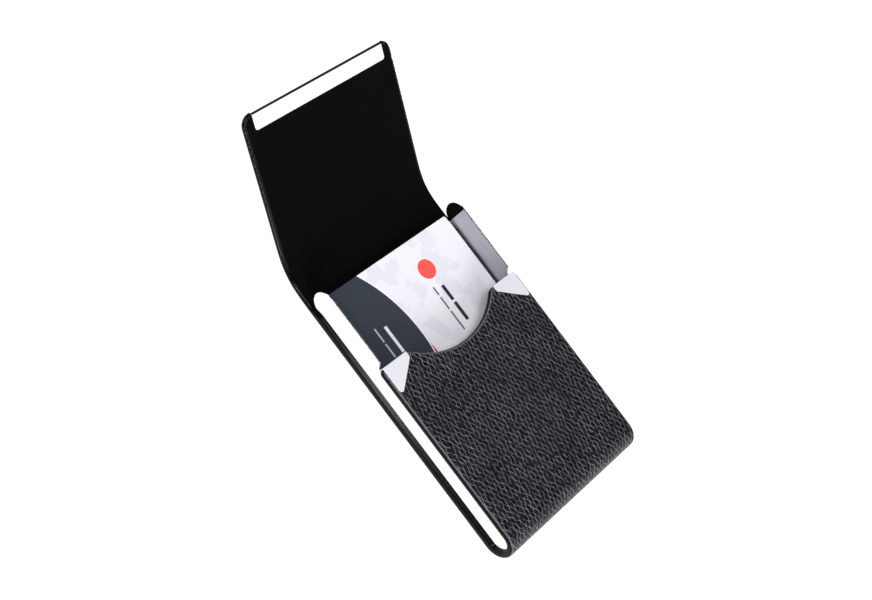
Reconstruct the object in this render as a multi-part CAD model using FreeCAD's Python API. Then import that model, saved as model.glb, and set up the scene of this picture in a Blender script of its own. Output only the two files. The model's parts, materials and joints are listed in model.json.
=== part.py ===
import FreeCAD, Part
import math
import os

# Business card case, lying on its back. Millimetres.
# +Z is up, out of the front panel. +Y runs along the case towards the hinge and the flap.
# +X is to the right. The origin is on the back's outer face, midway across the width.

# Driving sizes of the case
case_width = 68.6
bottom_y = -51.5
front_z = 12.2
front_top_y = 17.8
front_thickness = 2.35
back_thickness = 2.85
leather = 0.8
core = 1.0
turned_edge = 1.3
corner_round = 1.6

# Thumb notch in the front panel: one large arc, rounded into the top edge
notch_bottom_y = 9.7
notch_radius = 31.0
notch_blend = 3.0

# Steel: side plates outside, a brushed tray inside
plate_sheet = 0.35
tray_sheet = 0.3
tray_floor = 0.35
plate_top_y = 44.05
plate_front_z = 12.15
board_clearance = 0.15
chamfer_start_y = 20.0
chamfer_end_y = 18.4

# Hinge: five bends in the leather, four of which roll round the ends of the side plates
steps = 5
rolling_steps = 4
flap_gap = 0.4
hinge_thickness = 1.9
step_gap = 0.2
rest_bends = [0.3, 3.2, 11.4, 11.7, 7.4]

# Flap, measured along the leather as if it lay flat
flap_width = 68.2
flap_end = 111.2
flap_corner = 4.0
flap_board = 0.5
strip_half_width = 29.8
strip_leg = 6.0
strip_sheet = 0.25

# Corner guards and magnets of the front panel
guard_sheet = 0.25
guard_proud = 0.1
guard_fold = 1.9
guard_side_margin = 0.9
guard_inner_x = 22.3
guard_inner_y = 15.9
guard_tip_x = 31.4
guard_tip_y = 9.2
guard_side_y = 9.9
magnet_size = (20.0, 6.0, 0.7)
magnet_x = 14.0
magnet_y = -2.6
magnet_depth = 0.1

# Cards
card_width = 60.0
card_length = 90.0
card_sheet = 0.3
card_gap = 0.03
card_count = 3
card_top_y = 46.5
card_right_x = 31.3

# Worked out from the sizes above
half = case_width / 2
bend_radius = front_z / 2
bend_y = bottom_y + bend_radius
panel_inner_z = front_z - front_thickness
core_inner = leather + core
pocket_radius = (panel_inner_z - back_thickness) / 2
pocket_z = back_thickness + pocket_radius
plate_outer_x = half - turned_edge
plate_inner_x = plate_outer_x - plate_sheet
tray_inner_x = plate_inner_x - tray_sheet
inner_half = plate_outer_x
tray_top_z = back_thickness
tray_bottom_z = tray_top_z - tray_floor
plate_radius = (plate_front_z - back_thickness) / 2
plate_z = back_thickness + plate_radius
board_end_y = plate_top_y + board_clearance

# The closed hinge hugs a circle: its inner faces touch it, and each step turns an equal share of 180 degrees
closed_inner_z = front_z + flap_gap
hug_radius = (closed_inner_z - hinge_thickness) / 2
half_turn = math.radians(180.0 / rolling_steps) / 2
step_length = 2 * hug_radius * math.tan(half_turn)
first_pivot_y = plate_top_y + step_length / 2
pivots = [first_pivot_y + k * step_length for k in range(steps)]
flap_half = flap_width / 2
flap_start = pivots[-1]

os.makedirs("parts", exist_ok=True)


def vec(x, y, z):
    return FreeCAD.Vector(x, y, z)


def box(x0, x1, y0, y1, z0, z1):
    return Part.makeBox(x1 - x0, y1 - y0, z1 - z0, vec(x0, y0, z0))


def line(a, b):
    return Part.LineSegment(a, b).toShape()


def arc(a, mid, b):
    return Part.Arc(a, mid, b).toShape()


def prism(edges, direction):
    """A solid swept straight from the flat outline that the edges close."""
    return Part.Face(Part.Wire(Part.sortEdges(edges)[0])).extrude(direction)


def polygon_edges(points):
    return [line(points[i], points[(i + 1) % len(points)]) for i in range(len(points))]


def save(name, shape):
    shape = shape.removeSplitter()
    assert shape.isValid() and shape.Volume > 0, name
    shape.exportStep("parts/" + name + ".step")


def front_outline(w, inset, z, from_y):
    """Front panel seen from the front: straight sides, rounded top corners and the thumb notch."""
    top = front_top_y - inset
    r = corner_round - inset
    big = notch_radius + inset
    small = notch_blend - inset
    centre_y = notch_bottom_y + notch_radius
    small_y = top - small
    small_x = math.sqrt((big + small) ** 2 - (centre_y - small_y) ** 2)
    share = big / (big + small)
    tangent_x = small_x * share
    tangent_y = centre_y - (centre_y - small_y) * share
    # Middle of the small rounding: half way between straight up and the way to the big arc's centre
    to_big = math.atan2(centre_y - small_y, -small_x)
    mid_angle = (math.pi / 2 + to_big) / 2
    mid_x = small_x + small * math.cos(mid_angle)
    mid_y = small_y + small * math.sin(mid_angle)
    corner = r * (1 - math.sqrt(0.5))
    edges = [line(vec(-w, from_y, z), vec(w, from_y, z))]
    for s in (-1, 1):
        edges += [
            line(vec(s * w, from_y, z), vec(s * w, top - r, z)),
            arc(vec(s * w, top - r, z), vec(s * (w - corner), top - corner, z), vec(s * (w - r), top, z)),
            line(vec(s * (w - r), top, z), vec(s * small_x, top, z)),
            arc(vec(s * small_x, top, z), vec(s * mid_x, mid_y, z), vec(s * tangent_x, tangent_y, z)),
        ]
    edges.append(arc(vec(-tangent_x, tangent_y, z), vec(0, centre_y - big, z), vec(tangent_x, tangent_y, z)))
    return edges


def front_slab(w, inset, z0, z1):
    return prism(front_outline(w, inset, z0, bend_y), vec(0, 0, z1 - z0))


def bend(x0, x1, outer_r, outer_z, inner_r, inner_z):
    """Half ring round the bottom of the case, from the back to the front."""
    edges = [
        arc(vec(x0, bend_y, outer_z - outer_r), vec(x0, bend_y - outer_r, outer_z),
            vec(x0, bend_y, outer_z + outer_r)),
        arc(vec(x0, bend_y, inner_z - inner_r), vec(x0, bend_y - inner_r, inner_z),
            vec(x0, bend_y, inner_z + inner_r)),
        line(vec(x0, bend_y, outer_z - outer_r), vec(x0, bend_y, inner_z - inner_r)),
        line(vec(x0, bend_y, outer_z + outer_r), vec(x0, bend_y, inner_z + inner_r)),
    ]
    return prism(edges, vec(x1 - x0, 0, 0))


def mirrored(shape):
    return shape.mirror(vec(0, 0, 0), vec(1, 0, 0))


# The body's leather: an outer skin with its long edges turned up over the boards
def cover_leather():
    mid = front_z / 2
    front = front_slab(half, 0, panel_inner_z, front_z)
    front = front.cut(front_slab(inner_half, leather, panel_inner_z, front_z - leather))
    skin = bend(-half, half, mid, mid, mid - leather, mid)
    back_end = first_pivot_y - step_gap / 2
    back = box(-half, half, bend_y, back_end, 0, leather)
    shape = front.fuse([skin, back])
    for s in (-1, 1):
        x0, x1 = sorted((s * inner_half, s * half))
        shape = shape.fuse([
            bend(x0, x1, mid, mid, pocket_radius, pocket_z),
            box(x0, x1, bend_y, board_end_y, 0, back_thickness),
            box(x0, x1, board_end_y, back_end, 0, hinge_thickness),
        ])
    for guard in corner_guards():
        shape = shape.cut(guard)
    return shape


# One bent board stiffens the front, the bottom and the back
def core_board():
    mid = front_z / 2
    w = inner_half
    front = front_slab(w, leather, front_z - core_inner, front_z - leather)
    ring = bend(-w, w, mid - leather, mid, mid - core_inner, mid)
    back = box(-w, w, bend_y, board_end_y, leather, core_inner)
    shape = front.fuse([ring, back])
    for magnet in clasp_magnets():
        shape = shape.cut(magnet)
    return shape


# The lining covers the board's inner side and shows at the notch and past the cards
def pocket_lining():
    mid = front_z / 2
    w = inner_half
    front = front_slab(w, leather, panel_inner_z, front_z - core_inner)
    ring = bend(-w, w, mid - core_inner, mid, pocket_radius, pocket_z)
    back = box(-w, w, bend_y, board_end_y, core_inner, tray_bottom_z)
    end = box(-w, w, board_end_y, first_pivot_y - step_gap / 2, leather, hinge_thickness)
    return front.fuse([ring, back, end])


# Magnets set into the front board, where the flap's steel strip lands
def clasp_magnets():
    sx, sy, sz = magnet_size
    z1 = front_z - leather - magnet_depth
    return [box(s * magnet_x - sx / 2, s * magnet_x + sx / 2, magnet_y - sy / 2, magnet_y + sy / 2, z1 - sz, z1)
            for s in (-1, 1)]


# Steel guard over each top corner of the front panel, folded down over the top edge
def corner_guards():
    z1 = front_z + guard_proud
    z0 = z1 - guard_sheet
    out_x = half - guard_side_margin
    fold_y = front_top_y + guard_sheet
    points = [vec(guard_inner_x, fold_y, z0), vec(out_x, fold_y, z0), vec(out_x, guard_side_y, z0),
              vec(guard_tip_x, guard_tip_y, z0), vec(guard_inner_x, guard_inner_y, z0)]
    plate = prism(polygon_edges(points), vec(0, 0, guard_sheet))
    fold = box(guard_inner_x, out_x, front_top_y, fold_y, z1 - guard_fold, z1)
    guard = plate.fuse(fold)
    return [mirrored(guard), guard]


def side_outline(x, bottom_round):
    """Side plate seen from the side: round top end, chamfer down to the edge under the front panel."""
    z0, z1 = back_thickness, plate_front_z
    low = panel_inner_z
    r = plate_radius
    y = plate_top_y
    edges = [
        line(vec(x, bend_y, z0), vec(x, y, z0)),
        arc(vec(x, y, z0), vec(x, y + r, plate_z), vec(x, y, z1)),
        line(vec(x, y, z1), vec(x, chamfer_start_y, z1)),
        line(vec(x, chamfer_start_y, z1), vec(x, chamfer_end_y, low)),
        line(vec(x, chamfer_end_y, low), vec(x, bend_y, low)),
    ]
    if bottom_round:
        edges.append(arc(vec(x, bend_y, low), vec(x, bend_y - pocket_radius, pocket_z), vec(x, bend_y, z0)))
    else:
        edges.append(line(vec(x, bend_y, low), vec(x, bend_y, z0)))
    return edges


def side_plate(sign):
    return prism(side_outline(sign * plate_inner_x, True), vec(sign * plate_sheet, 0, 0))


# Brushed tray: a floor, and a flange up the inside of each plate that stops where the plate's round end starts
def card_tray():
    floor = box(-plate_outer_x, plate_outer_x, bend_y, plate_top_y, tray_bottom_z, tray_top_z)
    keep = box(-half, half, bend_y, plate_top_y, tray_top_z, plate_front_z)
    flanges = [prism(side_outline(s * tray_inner_x, False), vec(s * tray_sheet, 0, 0)).common(keep)
               for s in (-1, 1)]
    return floor.fuse(flanges)


def card(k):
    """Card number k, counted up from the tray's floor."""
    z = tray_top_z + card_gap + k * (card_sheet + card_gap)
    x0 = card_right_x - card_width
    return box(x0, card_right_x, card_top_y - card_length, card_top_y, z, z + card_sheet)


def to_rest(shape, body):
    """Bend a shape that lies flat in the plane of the back to its place at rest. Body 1 is the first step."""
    shape = shape.copy()
    for k in reversed(range(body)):
        shape.rotate(vec(0, pivots[k], hinge_thickness), vec(1, 0, 0), rest_bends[k])
    return shape


# Hinge steps between the pivots: a leather channel and the lining in it
def hinge_leather(k):
    y0 = pivots[k] + step_gap / 2
    y1 = pivots[k + 1] - step_gap / 2
    w = flap_half
    inner = w - turned_edge
    channel = box(-w, w, y0, y1, 0, hinge_thickness)
    return channel.cut(box(-inner, inner, y0, y1, leather, hinge_thickness))


def hinge_lining(k):
    y0 = pivots[k] + step_gap / 2
    y1 = pivots[k + 1] - step_gap / 2
    w = flap_half - turned_edge
    return box(-w, w, y0, y1, leather, hinge_thickness)


def flap_outline(w, end, r, z, start):
    """Flap seen square on: straight sides and rounded corners at its free end."""
    c = r * (1 - math.sqrt(0.5))
    edges = [line(vec(-w, start, z), vec(w, start, z)), line(vec(-(w - r), end, z), vec(w - r, end, z))]
    for s in (-1, 1):
        edges += [
            line(vec(s * w, start, z), vec(s * w, end - r, z)),
            arc(vec(s * w, end - r, z), vec(s * (w - c), end - c, z), vec(s * (w - r), end, z)),
        ]
    return edges


def flap_layer(inset, z0, z1):
    start = flap_start + step_gap / 2
    end = flap_end - strip_sheet - inset
    r = flap_corner - inset
    return prism(flap_outline(flap_half - inset, end, r, z0, start), vec(0, 0, z1 - z0))


def strip_space():
    """What the steel strip takes up round the flap's free edge, legs on both faces."""
    w = strip_half_width
    y0 = flap_end - strip_leg
    outer = box(-w, w, y0, flap_end, -strip_sheet / 2, hinge_thickness + strip_sheet / 2)
    inner = box(-w, w, y0, flap_end - strip_sheet, strip_sheet / 2, hinge_thickness - strip_sheet / 2)
    return outer.cut(inner)


def flap_leather():
    shell = flap_layer(0, 0, hinge_thickness).cut(flap_layer(turned_edge, leather, hinge_thickness))
    return shell.cut(strip_space())


def flap_inner_board():
    return flap_layer(turned_edge, leather, leather + flap_board)


def flap_lining():
    return flap_layer(turned_edge, leather + flap_board, hinge_thickness).cut(strip_space())


save("cover_leather", cover_leather())
save("core_board", core_board())
save("pocket_lining", pocket_lining())
save("card_tray", card_tray())
for side, sign in (("left", -1), ("right", 1)):
    save("side_plate_" + side, side_plate(sign))
for side, guard in zip(("left", "right"), corner_guards()):
    save("corner_guard_" + side, guard)
for side, magnet in zip(("left", "right"), clasp_magnets()):
    save("clasp_magnet_" + side, magnet)
for k in range(card_count):
    save("card_" + str(k + 1), card(k))
for k in range(steps - 1):
    save("hinge_leather_" + str(k + 1), to_rest(hinge_leather(k), k + 1))
    save("hinge_lining_" + str(k + 1), to_rest(hinge_lining(k), k + 1))
save("flap_leather", to_rest(flap_leather(), steps))
save("flap_board", to_rest(flap_inner_board(), steps))
save("flap_lining", to_rest(flap_lining(), steps))
save("flap_strip", to_rest(strip_space(), steps))
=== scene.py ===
import json
import math

import bmesh
import bpy
from mathutils import Matrix, Vector, noise


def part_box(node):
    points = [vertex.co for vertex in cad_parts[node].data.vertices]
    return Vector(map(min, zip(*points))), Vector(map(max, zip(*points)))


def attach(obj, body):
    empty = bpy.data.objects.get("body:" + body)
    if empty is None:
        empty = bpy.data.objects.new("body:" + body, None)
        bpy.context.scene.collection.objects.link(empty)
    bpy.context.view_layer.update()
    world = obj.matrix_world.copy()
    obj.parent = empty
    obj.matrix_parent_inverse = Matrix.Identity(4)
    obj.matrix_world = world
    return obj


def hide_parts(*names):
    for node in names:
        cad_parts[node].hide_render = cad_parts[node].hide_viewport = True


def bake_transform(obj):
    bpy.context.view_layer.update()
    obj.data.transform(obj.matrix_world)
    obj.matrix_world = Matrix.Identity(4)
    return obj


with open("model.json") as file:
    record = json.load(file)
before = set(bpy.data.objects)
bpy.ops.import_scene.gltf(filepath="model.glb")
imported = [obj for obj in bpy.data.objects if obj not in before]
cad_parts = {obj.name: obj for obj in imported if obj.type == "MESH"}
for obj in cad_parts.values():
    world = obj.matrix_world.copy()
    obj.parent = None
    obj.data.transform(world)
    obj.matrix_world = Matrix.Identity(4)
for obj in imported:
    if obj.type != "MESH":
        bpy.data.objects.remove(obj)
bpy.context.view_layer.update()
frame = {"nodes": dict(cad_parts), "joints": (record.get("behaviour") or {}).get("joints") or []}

# All sizes below are in millimetres. A piece is made in millimetres and brought to metres when it is
# finished. +Z is up out of the front panel, +Y runs along the case to the flap, +X is to the right.


# ---------------------------------------------------------------------------------------------------------
# Side plates: two pressed strips of mirror-polished stainless steel that close the sides of the case.
# Each is cut with round ends, and with a step where it goes under the front panel. They stand against the
# tray's flanges and shine on both faces.

plate_sheet = 0.35
panel_inner_z = 9.85
chamfer_low_y = 18.4
chamfer_high_y = 20.0
plate_edge_round = 0.06

# How near a vertex or an edge is to the place it is picked by, and what a full round end leaves flat
near = 0.1
touching = 0.01
round_gap = 0.001


def cad_box(node):
    """Lowest and highest corner of a CAD node, in millimetres."""
    low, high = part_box(node)
    return low * 1000, high * 1000


def add_cube(name, low, high):
    """A block between two corners, alone in the selection."""
    bpy.ops.object.select_all(action="DESELECT")
    low, high = Vector(low), Vector(high)
    bpy.ops.mesh.primitive_cube_add(size=1, location=(low + high) / 2, scale=high - low)
    piece = bpy.context.object
    piece.name = name
    piece.data.name = name
    bpy.ops.object.transform_apply(location=True, rotation=True, scale=True)
    return piece


def middle(item):
    """Middle of an edge or a face."""
    return sum((v.co for v in item.verts), Vector()) / len(item.verts)


def pick(piece, kind, test):
    """In edit mode, select only the vertices, edges or faces that pass the test."""
    bpy.ops.mesh.select_mode(type=kind)
    bpy.ops.mesh.select_all(action="DESELECT")
    mesh = bmesh.from_edit_mesh(piece.data)
    for item in {"VERT": mesh.verts, "EDGE": mesh.edges, "FACE": mesh.faces}[kind]:
        if test(item):
            item.select_set(True)
    bmesh.update_edit_mesh(piece.data)


def pick_faces(piece, facing, test=lambda place: True):
    """Select the faces that look along a direction and whose middle passes the test."""
    facing = Vector(facing)
    pick(piece, "FACE", lambda face: face.normal.dot(facing) > 0.9 and test(middle(face)))


def pick_edges(piece, along, test):
    """Select the edges that run along a direction and whose middle passes the test."""
    along = Vector(along)

    def wanted(edge):
        way = (edge.verts[1].co - edge.verts[0].co).normalized()
        return abs(way.dot(along)) > 0.99 and test(middle(edge))

    pick(piece, "EDGE", wanted)


def cut_across(place, normal):
    """In edit mode, cut the whole piece along a plane."""
    bpy.ops.mesh.select_all(action="SELECT")
    bpy.ops.mesh.bisect(plane_co=place, plane_no=normal)


def extrude(*move):
    """In edit mode, pull the selected faces out by a move."""
    bpy.ops.mesh.extrude_region_move(TRANSFORM_OT_translate={"value": move})


def round_edges(piece, width):
    """Round the sharp edges of a finished piece."""
    modifier = piece.modifiers.new("edges", "BEVEL")
    modifier.width = width
    modifier.segments = 2
    modifier.limit_method = "ANGLE"
    modifier.angle_limit = math.radians(40)
    bpy.context.view_layer.objects.active = piece
    bpy.ops.object.modifier_apply(modifier=modifier.name)


def finish_mesh(piece, smooth_angle=35):
    """Bring a piece from millimetres to metres, with its faces outwards and smooth."""
    bpy.ops.object.select_all(action="DESELECT")
    piece.select_set(True)
    bpy.context.view_layer.objects.active = piece
    bpy.ops.object.mode_set(mode="EDIT")
    bpy.ops.mesh.select_all(action="SELECT")
    bpy.ops.mesh.remove_doubles(threshold=0.0005)
    bpy.ops.mesh.normals_make_consistent(inside=False)
    bpy.ops.object.mode_set(mode="OBJECT")
    piece.data.transform(Matrix.Scale(0.001, 4))
    bpy.ops.object.shade_smooth_by_angle(angle=math.radians(smooth_angle))
    # Flat faces stay flat in a reflection, whatever roundings join them
    flat = piece.modifiers.new("flat_faces", "WEIGHTED_NORMAL")
    flat.keep_sharp = True
    bpy.ops.object.modifier_apply(modifier=flat.name)
    return piece


def linear(code):
    """An sRGB hex colour as the linear colour that a shader takes."""
    parts = [int(code[i:i + 2], 16) / 255 for i in (1, 3, 5)]
    return [c / 12.92 if c <= 0.04045 else ((c + 0.055) / 1.055) ** 2.4 for c in parts] + [1]


def add_node(material, kind, links=None, **settings):
    """Add a shader node of a kind such as Math or TexNoise. Settings name its properties, and links its
    inputs: values, or other nodes' outputs."""
    node = material.node_tree.nodes.new("ShaderNode" + kind)
    for name, value in settings.items():
        setattr(node, name, value)
    for name, value in (links or {}).items():
        if isinstance(value, bpy.types.NodeSocket):
            material.node_tree.links.new(value, node.inputs[name])
        else:
            node.inputs[name].default_value = value
    return node


def new_material(name, **finish):
    """A material with one Principled shader and its constant settings."""
    material = bpy.data.materials.new(name)
    material.use_nodes = True
    shader = material.node_tree.nodes["Principled BSDF"]
    for key, value in finish.items():
        shader.inputs[key.replace("_", " ")].default_value = value
    return material, shader


def feed(material, shader, **sockets):
    """Link node outputs to the shader's inputs."""
    for key, output in sockets.items():
        material.node_tree.links.new(output, shader.inputs[key.replace("_", " ")])


def polished_stainless_steel():
    """Mirror-polished stainless steel: a bright, slightly cool mirror with hairline polishing marks."""
    material, shader = new_material("polished_stainless_steel", Base_Color=linear("#EFEFF1"), Metallic=1.0)
    place = add_node(material, "TexCoord").outputs["Object"]
    # Marks 0.15 mm apart and about 6 mm long
    lines = add_node(material, "Mapping", {"Vector": place, "Scale": (6600, 160, 6600)})
    marks = add_node(material, "TexNoise", {"Vector": lines.outputs["Vector"], "Scale": 1.0, "Detail": 2.0})
    rough = add_node(material, "MapRange", {"Value": marks.outputs["Fac"], "To Min": 0.05, "To Max": 0.09})
    feed(material, shader, Roughness=rough.outputs["Result"])
    return material


polished_steel = polished_stainless_steel()


def side_plate(name):
    low, high = cad_box(name)
    foot_radius = (panel_inner_z - low.z) / 2
    cap_radius = (high.z - low.z) / 2
    plate = add_cube(name + "_polished", low, (high.x, chamfer_low_y, panel_inner_z))
    bpy.ops.object.mode_set(mode="EDIT")
    reach = chamfer_low_y
    for y in (chamfer_high_y, high.y):
        pick_faces(plate, (0, 1, 0))
        extrude(0, y - reach, 0)
        reach = y
    pick(plate, "VERT", lambda v: v.co.y > chamfer_high_y - near and v.co.z > panel_inner_z - near)
    bpy.ops.transform.translate(value=(0, 0, high.z - panel_inner_z))
    pick_edges(plate, (1, 0, 0), lambda p: p.y < low.y + near)
    bpy.ops.mesh.bevel(offset=foot_radius - round_gap, segments=24, affect="EDGES")
    pick_edges(plate, (1, 0, 0), lambda p: p.y > high.y - near)
    bpy.ops.mesh.bevel(offset=cap_radius - round_gap, segments=32, affect="EDGES")
    bpy.ops.object.mode_set(mode="OBJECT")
    round_edges(plate, plate_edge_round)
    finish_mesh(plate)
    plate.data.materials.append(polished_steel)
    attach(plate, "case")
    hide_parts(name)


side_plate("side_plate_left")
side_plate("side_plate_right")


# ---------------------------------------------------------------------------------------------------------
# Card tray: one sheet of stainless steel, brushed along its length and folded up at both sides. Its flanges
# line the straight part of the side plates.

tray_sheet = 0.3
tray_floor = 0.35
tray_fold = 0.25
tray_edge_round = 0.04


def brushed_stainless_steel():
    """Stainless steel brushed along the case: satin grey with fine lengthwise streaks of light and dark."""
    material, shader = new_material("brushed_stainless_steel", Metallic=1.0)
    place = add_node(material, "TexCoord").outputs["Object"]
    # Streaks 0.25 mm apart and about 12 mm long; the grit's own 0.05 mm lines are too fine to show
    lines = add_node(material, "Mapping", {"Vector": place, "Scale": (4000, 80, 4000)})
    streaks = add_node(material, "TexNoise", {"Vector": lines.outputs["Vector"], "Scale": 1.0, "Detail": 3.0})
    tint = add_node(material, "Mix", {"Factor": streaks.outputs["Fac"]}, data_type="RGBA")
    tint.inputs[6].default_value = linear("#A2A2A7")
    tint.inputs[7].default_value = linear("#C9C9CD")
    rough = add_node(material, "MapRange", {"Value": streaks.outputs["Fac"], "To Min": 0.3, "To Max": 0.42})
    bump = add_node(material, "Bump", {"Height": streaks.outputs["Fac"], "Strength": 0.25, "Distance": 2e-5})
    feed(material, shader, Base_Color=tint.outputs[2], Roughness=rough.outputs["Result"],
         Normal=bump.outputs["Normal"])
    return material


brushed_steel = brushed_stainless_steel()


def card_tray():
    low, high = cad_box("card_tray")
    inner = high.x - plate_sheet
    floor_z = low.z + tray_floor
    tray = add_cube("card_tray_brushed", (-inner, low.y, low.z), (inner, high.y, floor_z))
    bpy.ops.object.mode_set(mode="EDIT")
    for side in (-1, 1):
        cut_across((side * (inner - tray_sheet), 0, 0), (1, 0, 0))
    for y in (chamfer_low_y, chamfer_high_y):
        cut_across((0, y, 0), (0, 1, 0))
    pick_faces(tray, (0, 0, 1), lambda p: abs(p.x) > inner - tray_sheet)
    extrude(0, 0, panel_inner_z - floor_z)
    pick(tray, "VERT", lambda v: v.co.y > chamfer_high_y - near and v.co.z > panel_inner_z - near)
    bpy.ops.transform.translate(value=(0, 0, high.z - panel_inner_z))
    pick_edges(tray, (0, 1, 0), lambda p: abs(p.z - floor_z) < touching and abs(p.x) < inner - near)
    bpy.ops.mesh.bevel(offset=tray_fold, segments=4, affect="EDGES")
    pick_edges(tray, (0, 1, 0), lambda p: p.z < low.z + touching and abs(p.x) > inner - touching)
    bpy.ops.mesh.bevel(offset=tray_fold, segments=4, affect="EDGES")
    bpy.ops.object.mode_set(mode="OBJECT")
    round_edges(tray, tray_edge_round)
    finish_mesh(tray)
    tray.data.materials.append(brushed_steel)
    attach(tray, "case")
    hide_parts("card_tray")


card_tray()


# ---------------------------------------------------------------------------------------------------------
# Leather: one sheet of pebbled black PU leather covers the front, the bottom, the back, the hinge and the
# flap. Its edges are turned in over the boards, which gives a smooth, glossy rim all round. It is modelled
# flat, as it is cut, and then bent round the case. Where the hinge bends, it is split into one piece a bend.

leather = 0.8
turned_edge = 1.3
rim_outer_round = 1.1
rim_inner_round = 1.0
front_top_y = 17.8
corner_round = 1.6
notch_bottom_y = 9.7
notch_radius = 31.0
notch_blend = 3.0
back_rim = 2.85
flap_rim = 1.9
flap_width = 68.2
flap_end = 110.95
flap_corner = 4.0
flap_angle = math.radians(34.0)

cover_low, cover_high = cad_box("cover_leather")
half = cover_high.x
front_z = cover_high.z
front_rim = front_z - panel_inner_z
bend_radius = front_z / 2
bend_y = cover_low.y + bend_radius
bend_length = math.pi * bend_radius
front_start = bend_y - bend_length
front_end = front_start - (front_top_y - bend_y)

# The hinge's pivots at rest, and the sheet's bends between them, measured along the sheet
pivots = [Vector(joint["pos_m"]) * 1000 for joint in frame["joints"] if joint["type"] == "hinge"]
step = (pivots[1] - pivots[0]).length
directions = [math.atan2((b - a).z, (b - a).y) for a, b in zip(pivots, pivots[1:])]
turns = [0.0] + directions + [flap_angle]
hinge_cuts = [pivots[0].y + (k - 0.5) * step for k in range(len(pivots) + 1)]
flap_half = flap_width / 2
taper_start = hinge_cuts[0]
taper_end = hinge_cuts[-2]
ramp_start = 41.8
ramp_end = 46.8

# The blank sheet's half length, before its ends get their outlines, and how far apart its rows are cut
blank_reach = 50.0
bottom_rows = 0.8
ramp_rows = 0.5
hinge_rows = 0.37
sheet_smooth_angle = 50


def ease(value, start, end):
    """0 before start, 1 after end, smooth between."""
    share = min(max((value - start) / (end - start), 0), 1)
    return share * share * (3 - 2 * share)


def rim_height(s):
    """Height of the turned edge at a place along the sheet."""
    front_to_back = front_rim + (back_rim - front_rim) * ease(s, front_start, bend_y)
    return front_to_back + (flap_rim - front_to_back) * ease(s, ramp_start, ramp_end)


def half_width(s):
    return half + (flap_half - half) * ease(s, taper_start, taper_end)


def sheet_to_case(s, h):
    """Where a point of the flat sheet is on the case: s along the sheet, h in from its outer face."""
    if s < front_start:
        return bend_y + front_start - s, front_z - h
    if s < bend_y:
        angle = (bend_y - s) / bend_radius
        reach = bend_radius - h
        return bend_y - reach * math.sin(angle), bend_radius - reach * math.cos(angle)
    # Through the hinge, the sheet's inner face runs on arcs that join the middles of the steps
    y, z = hinge_cuts[0], flap_rim
    turn = 0.0
    rise = h - flap_rim
    for k, cut in enumerate(hinge_cuts):
        last = k == len(pivots)
        if s < cut or last:
            along = s - cut
            break
        bend = turns[k + 1] - turns[k]
        share = min((s - cut) / step, 1)
        radius = step / 2 / math.tan(bend / 2)
        centre_y, centre_z = y - radius * math.sin(turn), z + radius * math.cos(turn)
        turn += share * bend
        y, z = centre_y + radius * math.sin(turn), centre_z - radius * math.cos(turn)
        along = 0.0
        if share < 1:
            break
    y += along * math.cos(turn) - rise * math.sin(turn)
    z += along * math.sin(turn) + rise * math.cos(turn)
    return y, z


def arc(centre, radius, start, end, count):
    """Points along an arc, angles in degrees."""
    angles = [math.radians(start + (end - start) * i / count) for i in range(count + 1)]
    return [Vector((centre[0] + radius * math.cos(a), centre[1] + radius * math.sin(a), 0)) for a in angles]


def front_outline(inset):
    """The sheet's front end, from its middle to its right side: notch, its rounding, the corner."""
    big = notch_radius + inset
    small = notch_blend - inset
    corner = corner_round - inset
    top = front_end + inset
    # The sheet's front end is turned over on the case, so up the panel is back along the sheet
    centre = front_end + (front_top_y - notch_bottom_y) - notch_radius
    small_s = top + small
    small_x = math.sqrt((big + small) ** 2 - (small_s - centre) ** 2)
    lean = math.degrees(math.atan2(small_s - centre, small_x))
    points = arc((0, centre), big, 90, lean, 32)
    points += arc((small_x, small_s), small, 180 + lean, 270, 8)[1:]
    side = half - inset
    points += arc((side - corner, top + corner), corner, 270, 360, 8)
    return points


def flap_outline(inset):
    """The sheet's flap end, from its middle to its right side, one rounded corner."""
    side = flap_half - inset
    corner = flap_corner - inset
    end = flap_end - inset
    return [Vector((0, end, 0))] + arc((side - corner, end - corner), corner, 90, 0, 28)


def shape_end(piece, outline, sign):
    """Give one end edge of a flat sheet its outline. Sign is -1 for the front end and 1 for the flap end."""
    points = [Vector((-p.x, p.y, 0)) for p in reversed(outline[1:])] + outline
    pick_edges(piece, (1, 0, 0), lambda p: p.y * sign > 0)
    bpy.ops.mesh.subdivide(number_cuts=len(points) - 2)
    mesh = bmesh.from_edit_mesh(piece.data)
    row = sorted((v for v in mesh.verts if v.select), key=lambda v: v.co.x)
    for vertex, point in zip(row, points):
        vertex.co = point
    bmesh.update_edit_mesh(piece.data)


def flat_sheet(name, inset, low_h, high_h):
    """A slab with the whole sheet's outline, drawn in by the inset, between two heights."""
    bpy.ops.object.select_all(action="DESELECT")
    bpy.ops.mesh.primitive_plane_add(size=2)
    piece = bpy.context.object
    piece.name = name
    piece.data.name = name
    bpy.ops.object.mode_set(mode="EDIT")
    for vertex in bmesh.from_edit_mesh(piece.data).verts:
        vertex.co = (vertex.co.x * (half - inset), vertex.co.y * blank_reach, 0)
    bmesh.update_edit_mesh(piece.data)
    shape_end(piece, front_outline(inset), -1)
    shape_end(piece, flap_outline(inset), 1)
    bpy.ops.mesh.select_all(action="SELECT")
    bpy.ops.transform.translate(value=(0, 0, low_h))
    extrude(0, 0, high_h - low_h)
    bpy.ops.mesh.select_all(action="SELECT")
    bpy.ops.mesh.normals_make_consistent(inside=False)
    return piece


def cut_rows(start, end, spacing):
    """Cut the sheet across in even rows."""
    count = max(1, round((end - start) / spacing))
    for i in range(count + 1):
        cut_across((0, start + (end - start) * i / count, 0), (0, 1, 0))


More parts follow.
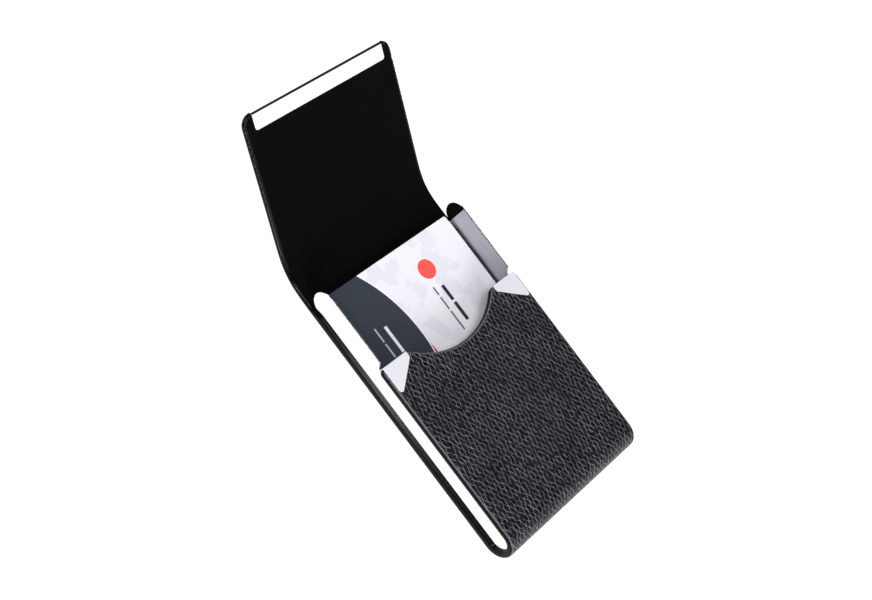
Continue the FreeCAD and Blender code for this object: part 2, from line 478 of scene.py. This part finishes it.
def bend_rows():
    """Cut rows wherever the sheet bends or its rim changes."""
    cut_rows(front_start, bend_y, bottom_rows)
    cut_rows(ramp_start, hinge_cuts[0] - ramp_rows, ramp_rows)
    for start in hinge_cuts[:-1]:
        cut_rows(start, start + step, hinge_rows)


def split_sheet(sheet, name, start, end):
    """A copy of part of the sheet, closed where it is cut."""
    piece = sheet.copy()
    piece.data = sheet.data.copy()
    piece.name = name
    piece.data.name = name
    bpy.context.scene.collection.objects.link(piece)
    bpy.ops.object.select_all(action="DESELECT")
    piece.select_set(True)
    bpy.context.view_layer.objects.active = piece
    bpy.ops.object.mode_set(mode="EDIT")
    for place, way in ((start, -1), (end, 1)):
        if place is not None:
            bpy.ops.mesh.select_all(action="SELECT")
            bpy.ops.mesh.bisect(plane_co=(0, place, 0), plane_no=(0, way, 0), use_fill=True, clear_outer=True)
    bpy.ops.object.mode_set(mode="OBJECT")
    return piece


def bend_sheet(piece, height):
    """Bend a flat piece round the case. Its flat place stays with it, in millimetres, to lead its grain."""
    flat = piece.data.attributes.new("sheet", "FLOAT_VECTOR", "POINT")
    for vertex, place in zip(piece.data.vertices, flat.data):
        place.vector = vertex.co
        x, s, h = vertex.co
        x *= half_width(s) / half
        if h > leather:
            h = leather + (h - leather) * (height(s) - leather) / (front_rim - leather)
        vertex.co = (x, *sheet_to_case(s, h))


def attach_sheet_piece(piece, number):
    """Piece 0 goes on the case and the last on the flap; each one between only has its transform baked in."""
    bodies = ["case"] + ["hinge_step_%d" % k for k in range(1, len(pivots))] + ["flap"]
    if number == 0 or number > len(pivots):
        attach(piece, bodies[0] if number == 0 else bodies[-1])
    else:
        ends = [Vector((0, *sheet_to_case(s, flap_rim))) / 1000 for s in hinge_cuts[number - 1:number + 1]]
        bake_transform(piece)


def sheet_pieces(sheet, names, height, material):
    """Split a flat sheet at the hinge, bend its pieces round the case, and attach its first and last pieces.
    """
    borders = [None] + hinge_cuts + [None]
    made = []
    for number, name in enumerate(names):
        piece = split_sheet(sheet, name, borders[number], borders[number + 1])
        bend_sheet(piece, height)
        finish_mesh(piece, sheet_smooth_angle)
        piece.data.materials.append(material)
        attach_sheet_piece(piece, number)
        made.append(piece)
    bpy.data.objects.remove(sheet)
    return made


ridge_angles = (-32.0, 15.0)
ridge_pitch = 1.6
ridge_width = 0.14
ridge_sway = 1.7


def ridge_lines(material, sheet, angle):
    """One family of wavy ridges, at an angle to the sheet's length, fading out here and there."""
    turned = add_node(material, "Mapping", {"Vector": sheet, "Rotation": (0, 0, math.radians(angle))},
                      vector_type="TEXTURE")
    # Ridges wander about 0.4 mm over 3 mm
    sway = add_node(material, "TexNoise", {"Vector": turned.outputs["Vector"], "Scale": 0.3, "Detail": 1.0})
    parts = add_node(material, "SeparateXYZ", {"Vector": turned.outputs["Vector"]})
    across = add_node(material, "Math", {0: sway.outputs["Fac"], 1: ridge_sway, 2: parts.outputs["X"]},
                      operation="MULTIPLY_ADD")
    away = add_node(material, "Math", {0: across.outputs["Value"], 1: ridge_pitch / 2}, operation="PINGPONG")
    line = add_node(material, "MapRange", {"Value": away.outputs["Value"], "From Min": 0.0,
                    "From Max": ridge_width, "To Min": 1.0, "To Max": 0.0}, interpolation_type="SMOOTHSTEP")
    breaks = add_node(material, "TexNoise", {"Vector": turned.outputs["Vector"], "Scale": 0.5, "Detail": 0.0})
    kept = add_node(material, "MapRange", {"Value": breaks.outputs["Fac"], "From Min": 0.36,
                    "From Max": 0.5, "To Min": 0.2, "To Max": 1.0})
    return add_node(material, "Math", {0: line.outputs["Result"], 1: kept.outputs["Result"]},
                    operation="MULTIPLY").outputs["Value"]


def pebbled_pu_leather():
    """Pebbled PU leather: near-black pebbles, drawn out along the case, between fine grey ridges that
    cross at a narrow angle; the ridges' light colour is partly worn grain and partly painted highlight. The
    roll of each outer edge carries a painted highlight, the same all round, and the turned edges are pressed
    smooth and shine."""
    material, shader = new_material("pebbled_pu_leather", Specular_IOR_Level=0.13)
    sheet = add_node(material, "Attribute", attribute_name="sheet").outputs["Vector"]
    lines = [ridge_lines(material, sheet, angle) for angle in ridge_angles]
    crossed = add_node(material, "Math", {0: lines[0], 1: lines[1]}, operation="MAXIMUM")
    # Short creases between the ridges, about 1 mm by 2 mm
    grain = add_node(material, "Mapping", {"Vector": sheet, "Rotation": (0, 0, math.radians(-8)),
                     "Scale": (1.0, 2.0, 1.0)}, vector_type="TEXTURE")
    cells = add_node(material, "TexVoronoi", {"Vector": grain.outputs["Vector"], "Scale": 1.0},
                     feature="DISTANCE_TO_EDGE", voronoi_dimensions="2D")
    crease = add_node(material, "MapRange", {"Value": cells.outputs["Distance"], "From Min": 0.0,
                      "From Max": 0.07, "To Min": 0.2, "To Max": 0.0}, interpolation_type="SMOOTHSTEP")
    ridge = add_node(material, "Math", {0: crossed.outputs["Value"], 1: crease.outputs["Result"]},
                     operation="MAXIMUM")
    # Wear in patches about 15 mm wide, and the sheet's own height, which is 0 on its outer face
    wear = add_node(material, "TexNoise", {"Vector": sheet, "Scale": 0.07, "Detail": 3.0})
    worn = add_node(material, "MapRange", {"Value": wear.outputs["Fac"], "From Min": 0.3, "From Max": 0.7,
                    "To Min": 0.6, "To Max": 1.0})
    height = add_node(material, "SeparateXYZ", {"Vector": sheet})
    face = add_node(material, "MapRange", {"Value": height.outputs["Z"], "From Min": 0.1,
                    "From Max": 0.4, "To Min": 1.0, "To Max": 0.0}, interpolation_type="SMOOTHSTEP")
    raised = add_node(material, "Math", {0: ridge.outputs["Value"], 1: face.outputs["Result"]},
                      operation="MULTIPLY")
    pale = add_node(material, "Math", {0: raised.outputs["Value"], 1: worn.outputs["Result"]},
                    operation="MULTIPLY")
    # Painted highlight: the roll of each outer edge is lightened in colour, the same all round
    painted_roll_highlight = add_node(material, "MapRange", {"Value": height.outputs["Z"], "From Min": 0.0,
                       "From Max": 0.1, "To Min": 0.0, "To Max": 0.38})
    roll = add_node(material, "Math", {0: painted_roll_highlight.outputs["Result"], 1: face.outputs["Result"]},
                    operation="MULTIPLY")
    light = add_node(material, "Math", {0: pale.outputs["Value"], 1: roll.outputs["Value"]},
                     operation="MAXIMUM")
    # Ridges and edge roll share this light colour: on the ridges it is partly worn grain and partly painted
    # highlight, on the roll it is painted highlight
    colour = add_node(material, "Mix", {"Factor": light.outputs["Value"]}, data_type="RGBA")
    colour.inputs[6].default_value = linear("#07070B")
    colour.inputs[7].default_value = linear("#989AA4")
    rough = add_node(material, "MapRange", {"Value": face.outputs["Result"], "To Min": 0.16, "To Max": 0.34})
    bump = add_node(material, "Bump", {"Height": raised.outputs["Value"], "Strength": 1.0, "Distance": 8e-5})
    feed(material, shader, Base_Color=colour.outputs[2], Roughness=rough.outputs["Result"],
         Normal=bump.outputs["Normal"])
    return material


pebbled_leather = pebbled_pu_leather()


pucker_start = 72.0
pucker_end = flap_end - 0.6
pucker_spacing = 1.5
pucker_reach = 3.4
pucker_shallowest = 0.12
pucker_deepening = 0.6
pucker_slant = 0.9
pucker_sway = 1.4
pucker_full_height = front_rim - 0.3
pucker_rows = 0.4

# The facets beside the long edges: how far from zero their middles may be, their border, and the slope of
# the groove's walls
facet_reach = 30.0
edge_band = 0.06
sunk_slope = 0.02


def pucker_depth(x, s, h):
    """How far a place on the flap's turned edge is drawn in where the leather is gathered. The gathers slant
    across the edge, deepest at the flap's corners."""
    to_edge = half - abs(x)
    if h < leather or s < pucker_start or to_edge > pucker_reach:
        return 0.0
    deepest = pucker_shallowest + pucker_deepening * ease(s, pucker_start, pucker_end) ** 2
    sway = noise.noise(Vector((x * 0.4, s * 0.3, math.copysign(3.0, x))))
    fold = abs(math.sin(math.pi * (s - pucker_slant * to_edge + pucker_sway * sway) / pucker_spacing))
    uneven = 0.6 + 0.5 * noise.noise(Vector((x * 0.2, s * 0.7, 9.0)))
    return deepest * uneven * (1 - fold) * ease(h, leather, pucker_full_height)


def leather_sheet():
    """The flat sheet: a slab with rounded edges, solid up to its rim, with a groove beside each long edge."""
    sheet = flat_sheet("leather_sheet", 0.0, 0.0, front_rim)
    for height, width in ((0.0, rim_outer_round), (front_rim, rim_inner_round)):
        pick(sheet, "EDGE", lambda edge: all(abs(v.co.z - height) < touching for v in edge.verts))
        bpy.ops.mesh.bevel(offset=width, segments=6, profile=0.5, affect="EDGES", clamp_overlap=False)
    # The broad faces' middles are at y = -36, so only the facets beside the long edges pass this test. The
    # broad inner face isn't sunk to the leather's thickness, and fills the space of the board above it
    for facing in (-1, 1):
        pick_faces(sheet, (0, 0, facing), lambda p: abs(p.y) < facet_reach)
        bpy.ops.mesh.inset(thickness=edge_band)
    bpy.ops.mesh.inset(thickness=turned_edge - rim_inner_round - edge_band)
    bpy.ops.mesh.inset(thickness=sunk_slope)
    bpy.ops.transform.translate(value=(0, 0, leather - front_rim))
    bend_rows()
    cut_rows(pucker_start, pucker_end, pucker_rows)
    bpy.ops.object.mode_set(mode="OBJECT")
    for vertex in sheet.data.vertices:
        vertex.co.z -= pucker_depth(*vertex.co)
    return sheet


leather_names = ["cover_leather_sewn"] + ["hinge_leather_bend_%d" % k for k in range(1, len(pivots) + 1)]
leather_names += ["flap_leather_sewn"]
leather_pieces = sheet_pieces(leather_sheet(), leather_names, rim_height, pebbled_leather)
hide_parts("cover_leather")
for k in range(1, len(pivots)):
    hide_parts("hinge_leather_%d" % k)
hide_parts("flap_leather")


# ---------------------------------------------------------------------------------------------------------
# Lining: black velvet glued inside the front, round the bottom, under the tray, over the hinge and inside
# the flap. It covers the raw edge of the turned-in leather.

lining_inset = 1.2
lining_proud = 0.03
lining_sink = 0.05
lining_edge_round = 0.12
tray_gap = 0.02
tray_bottom_z = cad_box("card_tray")[0].z


def lining_height(s):
    return min(rim_height(s) + lining_proud, tray_bottom_z - tray_gap)


def black_velvet():
    """Flocked velvet: nearly black, with a faint cool sheen and cloudy nap."""
    material, shader = new_material("black_velvet_lining", Roughness=1.0, Specular_IOR_Level=0.05,
                                    Sheen_Weight=0.02, Sheen_Roughness=0.5)
    sheet = add_node(material, "Attribute", attribute_name="sheet").outputs["Vector"]
    nap = add_node(material, "TexNoise", {"Vector": sheet, "Scale": 0.12, "Detail": 4.0})
    colour = add_node(material, "Mix", {"Factor": nap.outputs["Fac"]}, data_type="RGBA")
    colour.inputs[6].default_value = linear("#020203")
    colour.inputs[7].default_value = linear("#050507")
    pile = add_node(material, "TexNoise", {"Vector": sheet, "Scale": 6.0, "Detail": 2.0})
    bump = add_node(material, "Bump", {"Height": pile.outputs["Fac"], "Strength": 0.5, "Distance": 1e-4})
    feed(material, shader, Base_Color=colour.outputs[2], Normal=bump.outputs["Normal"])
    return material


velvet = black_velvet()


def lining_sheet():
    sheet = flat_sheet("lining_sheet", lining_inset, leather - lining_sink, front_rim)
    pick(sheet, "EDGE", lambda edge: all(abs(v.co.z - front_rim) < touching for v in edge.verts))
    bpy.ops.mesh.bevel(offset=lining_edge_round, segments=3, affect="EDGES", clamp_overlap=False)
    bend_rows()
    bpy.ops.object.mode_set(mode="OBJECT")
    return sheet


lining_names = ["pocket_lining_velvet"] + ["hinge_lining_bend_%d" % k for k in range(1, len(pivots) + 1)]
lining_names += ["flap_lining_velvet"]
lining_pieces = sheet_pieces(lining_sheet(), lining_names, lining_height, velvet)
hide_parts("pocket_lining")
for k in range(1, len(pivots)):
    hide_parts("hinge_lining_%d" % k)
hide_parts("flap_lining")


# ---------------------------------------------------------------------------------------------------------
# Shade pads: small half-round patches of the same black velvet inside the side plates' round ends, above the
# tray's flanges. They are painted shade: a dark sheet that keeps the caps dark where their mirror would show
# the card.

pad_thickness = 0.05
pad_margin = 0.12


def shade_pad(name, plate, sign):
    low, high = cad_box(plate)
    inner = min(abs(low.x), abs(high.x))
    radius = (high.z - low.z) / 2 - pad_margin
    pad = add_cube(name, (inner - pad_thickness, cad_box("card_tray")[1].y, low.z + pad_margin),
                   (inner, high.y - pad_margin, high.z - pad_margin))
    bpy.ops.object.mode_set(mode="EDIT")
    pick_edges(pad, (1, 0, 0), lambda p: p.y > high.y - pad_margin - near)
    bpy.ops.mesh.bevel(offset=radius - round_gap, segments=24, affect="EDGES")
    bpy.ops.object.mode_set(mode="OBJECT")
    for vertex in pad.data.vertices:
        vertex.co.x *= sign
    finish_mesh(pad)
    pad.data.materials.append(velvet)
    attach(pad, "case")


# Painted shade: dark velvet pads inside both plates' caps
shade_pad("shade_pad_left", "side_plate_left", -1)
shade_pad("shade_pad_right", "side_plate_right", 1)


# ---------------------------------------------------------------------------------------------------------
# Boards: grey board glued between leather and lining, one bent through the case and one in the flap. The
# case's board holds two thin magnets that catch the flap's strip. All of them are closed in.


def dress_node(name, material):
    """Give a CAD node that stays its material."""
    node = frame["nodes"][name]
    node.data.materials.clear()
    node.data.materials.append(material)


def grey_board():
    """Recycled grey board: dull warm grey with short darker fibres."""
    material, shader = new_material("grey_board", Roughness=0.95, Specular_IOR_Level=0.2)
    place = add_node(material, "TexCoord").outputs["Object"]
    # Fibres about 0.5 mm long
    fibres = add_node(material, "TexNoise", {"Vector": place, "Scale": 2000.0, "Detail": 4.0})
    colour = add_node(material, "Mix", {"Factor": fibres.outputs["Fac"]}, data_type="RGBA")
    colour.inputs[6].default_value = linear("#6E6962")
    colour.inputs[7].default_value = linear("#948E85")
    feed(material, shader, Base_Color=colour.outputs[2])
    return material


def nickel_plated_magnet():
    """Nickel-plated magnet: grey satin metal, slightly uneven."""
    material, shader = new_material("nickel_plated_magnet", Base_Color=linear("#B9B8B4"), Metallic=1.0)
    place = add_node(material, "TexCoord").outputs["Object"]
    plating = add_node(material, "TexNoise", {"Vector": place, "Scale": 900.0, "Detail": 2.0})
    rough = add_node(material, "MapRange", {"Value": plating.outputs["Fac"], "To Min": 0.25, "To Max": 0.4})
    feed(material, shader, Roughness=rough.outputs["Result"])
    return material


board = grey_board()
for name in ("core_board", "flap_board"):
    dress_node(name, board)
magnet = nickel_plated_magnet()
for name in ("clasp_magnet_left", "clasp_magnet_right"):
    dress_node(name, magnet)


# ---------------------------------------------------------------------------------------------------------
# Flap strip: polished stainless steel folded round the flap's free edge and pressed flat, with its corners
# rounded. The magnets catch it.

strip_half = cad_box("flap_strip")[1].x
strip_sheet = 0.25
strip_leg = 6.0
strip_fold = 1.05
strip_corner = 1.0
strip_edge_round = 0.05


def flap_strip():
    end = flap_end + strip_sheet
    strip = add_cube("flap_strip_polished", (-strip_half, end - strip_leg, -strip_sheet / 2),
                     (strip_half, end, flap_rim + strip_sheet / 2))
    bpy.ops.object.mode_set(mode="EDIT")
    pick(strip, "FACE", lambda face: abs(face.normal.x) > 0.9 or face.normal.y < -0.9)
    bpy.ops.mesh.delete(type="FACE")
    pick_edges(strip, (1, 0, 0), lambda p: p.y > end - near)
    bpy.ops.mesh.bevel(offset=strip_fold, segments=10, affect="EDGES")
    pick(strip, "VERT", lambda v: v.co.y < end - strip_leg + near)
    bpy.ops.mesh.bevel(offset=strip_corner, segments=8, affect="VERTICES")
    bpy.ops.object.mode_set(mode="OBJECT")
    wall = strip.modifiers.new("wall", "SOLIDIFY")
    wall.thickness = strip_sheet
    wall.offset = -1
    bpy.ops.object.modifier_apply(modifier=wall.name)
    round_edges(strip, strip_edge_round)
    for vertex in strip.data.vertices:
        x, s, h = vertex.co
        vertex.co = (x, *sheet_to_case(s, h))
    finish_mesh(strip)
    strip.data.materials.append(polished_steel)
    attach(strip, "flap")
    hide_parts("flap_strip")


flap_strip()


# ---------------------------------------------------------------------------------------------------------
# Corner guards: small triangles of polished steel, dulled to one even pale tone, over the front panel's top
# corners. They are folded down over its top edge and pressed into the leather.

guard_sheet = 0.25
guard_side_margin = 0.9
guard_inner_x = 22.3
guard_inner_y = 15.9
guard_lean = 0.744
guard_tip_round = 2.4
guard_corner_round = 0.55
guard_fold = 0.225
guard_edge_round = 0.06


def satin_steel():
    """Satin-polished steel, dulled: an even pale silver without reflections, so its roughness is well above
    the 0.3 to 0.45 that is usual for a satin polish."""
    material, shader = new_material("satin_polished_steel", Base_Color=linear("#F5F3F9"), Metallic=1.0)
    place = add_node(material, "TexCoord").outputs["Object"]
    # Polishing marks 0.1 mm apart and about 1 mm long
    lines = add_node(material, "Mapping", {"Vector": place, "Scale": (10000, 1000, 10000)})
    marks = add_node(material, "TexNoise", {"Vector": lines.outputs["Vector"], "Scale": 1.0, "Detail": 2.0})
    rough = add_node(material, "MapRange", {"Value": marks.outputs["Fac"], "To Min": 0.75, "To Max": 0.85})
    feed(material, shader, Roughness=rough.outputs["Result"])
    return material


satin = satin_steel()


def corner_guard(name, sign):
    low, high = cad_box(name)
    outer_x = half - guard_side_margin
    low_z = high.z - guard_sheet
    guard = add_cube(name + "_satin", (guard_inner_x, guard_inner_y, low_z), (outer_x, high.y, high.z))
    bpy.ops.object.mode_set(mode="EDIT")
    pick(guard, "VERT", lambda v: v.co.x > outer_x - near and v.co.y < guard_inner_y + near)
    bpy.ops.transform.translate(value=(0, (guard_inner_x - outer_x) * guard_lean, 0))
    pick_edges(guard, (0, 0, 1), lambda p: p.y < guard_inner_y - near)
    bpy.ops.mesh.bevel(offset=guard_tip_round, segments=10, affect="EDGES")
    pick_edges(guard, (0, 0, 1), lambda p: p.x < guard_inner_x + near and p.y < guard_inner_y + near)
    bpy.ops.mesh.bevel(offset=guard_corner_round, segments=6, affect="EDGES")
    cut_across((0, high.y - guard_sheet, 0), (0, 1, 0))
    pick_faces(guard, (0, 0, -1), lambda p: p.y > high.y - guard_sheet)
    extrude(0, 0, low.z - low_z)
    pick_edges(guard, (1, 0, 0), lambda p: p.y > high.y - touching and p.z > high.z - touching)
    bpy.ops.mesh.bevel(offset=guard_fold, segments=5, affect="EDGES")
    bpy.ops.object.mode_set(mode="OBJECT")
    round_edges(guard, guard_edge_round)
    for vertex in guard.data.vertices:
        vertex.co.x *= sign
    finish_mesh(guard)
    guard.data.materials.append(satin)
    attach(guard, "case")
    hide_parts(name)


corner_guard("corner_guard_left", -1)
corner_guard("corner_guard_right", 1)


# ---------------------------------------------------------------------------------------------------------
# Cards: printed business cards on white linen-finish stock, guillotined with slightly rounded corners.
# The print is generic: a slate field with a curved edge and a red sliver, a faint cloudy tint, a red dot,
# and plain bars where words would be.

card_corner = 0.8
card_edge = 0.04
slate_centre = (-56.3, 20.2)
slate_radius = 50.1
slate_white_rim = 0.45
sliver_centre = (-56.58, 10.25)
sliver_radius = slate_radius + 0.9
dot_centre = (11.3, 35.4)
dot_radius = 3.5
print_blur = 0.08
thread_pitch = 0.7
# A wave texture's own pitch at scale 1
wave_pitch = 0.314
# Lines of words: from and to across the card, the ink, and each word's start and end along the card
word_lines = (
    (11.7, 13.1, "#2B2B36", ((22.3, 28.2), (14.3, 21.4))),
    (8.4, 9.1, "#6A6976", ((26.2, 29.4), (20.6, 25.4), (12.3, 19.8))),
    (-17.2, -16.0, "#F4F4F8", ((18.4, 28.2),)),
    (-20.8, -20.2, "#C4C6CC", ((24.4, 29.5), (18.6, 23.7))))


def flat_mask(material, distance, reach):
    """1 where a distance is less than the reach, 0 outside, with a print's slightly soft edge."""
    mask = add_node(material, "MapRange", {"Value": distance, "From Min": reach - print_blur,
                    "From Max": reach + print_blur, "To Min": 1.0, "To Max": 0.0})
    return mask.outputs["Result"]


def disc_mask(material, place, centre, radius):
    away = add_node(material, "VectorMath", {0: place, 1: (*centre, 0)}, operation="DISTANCE")
    return flat_mask(material, away.outputs["Value"], radius)


def bar_mask(material, place, low, high):
    """A bar between two corners of the card's plane."""
    centre = [(a + b) / 2 for a, b in zip(low, high)]
    reach = [(b - a) / 2 for a, b in zip(low, high)]
    away = add_node(material, "VectorMath", {0: place, 1: (*centre, 0)}, operation="SUBTRACT")
    away = add_node(material, "VectorMath", {0: away.outputs["Vector"]}, operation="ABSOLUTE")
    away = add_node(material, "VectorMath", {0: away.outputs["Vector"], 1: (*reach, 0)}, operation="SUBTRACT")
    parts = add_node(material, "SeparateXYZ", {"Vector": away.outputs["Vector"]})
    further = add_node(material, "Math", {0: parts.outputs["X"], 1: parts.outputs["Y"]}, operation="MAXIMUM")
    return flat_mask(material, further.outputs["Value"], 0)


def paint(material, under, mask, colour):
    """Print a colour over what is under it, where the mask is."""
    mix = add_node(material, "Mix", {"Factor": mask}, data_type="RGBA")
    for socket, value in ((mix.inputs[6], under), (mix.inputs[7], colour)):
        if isinstance(value, str):
            socket.default_value = linear(value)
        else:
            material.node_tree.links.new(value, socket)
    return mix.outputs[2]


def linen_card(name, printed):
    """Linen-finish card stock: matt white with a cool tint and a pressed weave of 0.7 mm threads. The
    threads carry painted shade: they are painted whiter than the tinted card between them.
    """
    material, shader = new_material(name, Roughness=0.6, Specular_IOR_Level=0.25)
    metres = add_node(material, "TexCoord").outputs["Object"]
    place = add_node(material, "VectorMath", {0: metres, 1: (1000, 1000, 0)}, operation="MULTIPLY")
    place = place.outputs["Vector"]
    pressed = {"Vector": place, "Scale": wave_pitch / thread_pitch, "Distortion": 0.6}
    threads = [add_node(material, "TexWave", pressed, bands_direction=way).outputs["Fac"] for way in "XY"]
    weave = add_node(material, "Math", {0: threads[0], 1: threads[1]}, operation="ADD")
    # Painted shade of the pressed weave: threads whiter, the card between them tinted
    shade = add_node(material, "Math", {0: weave.outputs["Value"], 1: 0.5}, operation="MULTIPLY")
    colour = paint(material, "#E9E7F5", shade.outputs["Value"], "#FFFDFF")
    if printed:
        clouds = add_node(material, "TexNoise", {"Vector": place, "Scale": 0.09, "Detail": 4.0})
        land = add_node(material, "MapRange", {"Value": clouds.outputs["Fac"], "From Min": 0.5,
                        "From Max": 0.53, "To Min": 0.0, "To Max": 0.45})
        colour = paint(material, colour, land.outputs["Result"], "#DEDCE8")
        for centre, radius, ink in (
                (sliver_centre, sliver_radius, "#C93A36"),
                (slate_centre, slate_radius + slate_white_rim, "#FBFAFF"),
                (slate_centre, slate_radius, "#363C46"),
                (dot_centre, dot_radius, "#FF5C55")):
            colour = paint(material, colour, disc_mask(material, place, centre, radius), ink)
        for low_x, high_x, ink, words in word_lines:
            for low_y, high_y in words:
                bar = bar_mask(material, place, (low_x, low_y), (high_x, high_y))
                colour = paint(material, colour, bar, ink)
    bump = add_node(material, "Bump", {"Height": weave.outputs["Value"], "Strength": 0.12, "Distance": 4e-5})
    feed(material, shader, Base_Color=colour, Normal=bump.outputs["Normal"])
    return material


def business_card(name, material):
    card = add_cube(name + "_linen", *cad_box(name))
    bpy.ops.object.mode_set(mode="EDIT")
    pick_edges(card, (0, 0, 1), lambda p: True)
    bpy.ops.mesh.bevel(offset=card_corner, segments=6, affect="EDGES")
    bpy.ops.object.mode_set(mode="OBJECT")
    round_edges(card, card_edge)
    finish_mesh(card)
    card.data.materials.append(material)
    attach(card, name)
    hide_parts(name)


plain_stock = linen_card("linen_card_stock", False)
printed_stock = linen_card("printed_linen_card_stock", True)
for name, material in (("card_1", plain_stock), ("card_2", plain_stock), ("card_3", printed_stock)):
    business_card(name, material)


# ---------------------------------------------------------------------------------------------------------
# Studio: a white lit floor, white walls beyond both ends of the case and a dark surround between them, which
# keeps the leather black and draws the dark line along the strip's fold. A soft box hangs above, and two
# lamps on the left draw the shine along the rims: a long narrow one for the case, a low one for the flap.

floor_size = 6000.0
floor_gap = 0.05
wall_light = 1.3
wall_start = 0.46
wall_full = 0.61
left_light = 0.16
right_light = 0.02


def studio_floor():
    bpy.ops.object.select_all(action="DESELECT")
    bpy.ops.mesh.primitive_plane_add(size=floor_size / 1000, location=(0, 0, -floor_gap / 1000))
    floor = bpy.context.object
    floor.name = "floor"
    material, shader = new_material("white_floor", Base_Color=linear("#8A8A8A"), Roughness=0.9,
                                    Specular_IOR_Level=0.0, Emission_Color=(1, 1, 1, 1),
                                    Emission_Strength=0.96)
    floor.data.materials.append(material)


def studio_surround():
    world = bpy.data.worlds.new("studio")
    bpy.context.scene.world = world
    world.use_nodes = True
    direction = add_node(world, "TexCoord").outputs["Generated"]
    parts = add_node(world, "SeparateXYZ", {"Vector": direction})
    along = add_node(world, "Math", {0: parts.outputs["Y"]}, operation="ABSOLUTE")
    sides = add_node(world, "MapRange", {"Value": parts.outputs["X"], "From Min": -0.5, "From Max": 0.3,
                     "To Min": left_light, "To Max": right_light}, interpolation_type="SMOOTHSTEP")
    light = add_node(world, "MapRange", {"Value": along.outputs["Value"], "From Min": wall_start,
                     "From Max": wall_full, "To Min": sides.outputs["Result"], "To Max": wall_light},
                     interpolation_type="SMOOTHSTEP")
    background = world.node_tree.nodes["Background"]
    world.node_tree.links.new(light.outputs["Result"], background.inputs["Strength"])
    background.inputs["Color"].default_value = (1, 1, 1, 1)


def area_lamp(name, place, size, power):
    """A rectangular lamp at a place in millimetres, facing the object."""
    data = bpy.data.lights.new(name, "AREA")
    data.shape = "RECTANGLE"
    data.size, data.size_y = size[0] / 1000, size[1] / 1000
    data.energy = power
    lamp = bpy.data.objects.new(name, data)
    bpy.context.scene.collection.objects.link(lamp)
    lamp.location = Vector(place) / 1000
    lamp.rotation_mode = "QUATERNION"
    lamp.rotation_quaternion = (-Vector(place)).to_track_quat("-Z", "Y")


studio_floor()
studio_surround()
area_lamp("soft_box", (-60, 0, 900), (350, 500), 2.0)
area_lamp("rim_lamp", (-640, 0, 760), (45, 1200), 3.2)
area_lamp("flap_lamp", (-510, -765, 380), (220, 400), 5.5)

camera_target = Vector((4.73, 25.45, 6.0))
camera_distance = 529.3
camera_heading = math.radians(88.395)
camera_tilt = math.radians(50.677)
camera_roll = math.radians(51.731)

camera_data = bpy.data.cameras.new("camera")
camera_data.lens = 67.85
camera_data.sensor_width = 36.0
camera = bpy.data.objects.new("camera", camera_data)
bpy.context.scene.collection.objects.link(camera)
flat_reach = math.cos(camera_tilt)
look = Vector((math.sin(camera_heading) * flat_reach, math.cos(camera_heading) * flat_reach,
               -math.sin(camera_tilt)))
camera.location = (camera_target - look * camera_distance) / 1000
camera.rotation_mode = "QUATERNION"
roll = Matrix.Rotation(camera_roll, 3, "Z").to_quaternion()
camera.rotation_quaternion = look.to_track_quat("-Z", "Y") @ roll
bpy.context.scene.camera = camera
bpy.context.scene.view_settings.view_transform = "Standard"
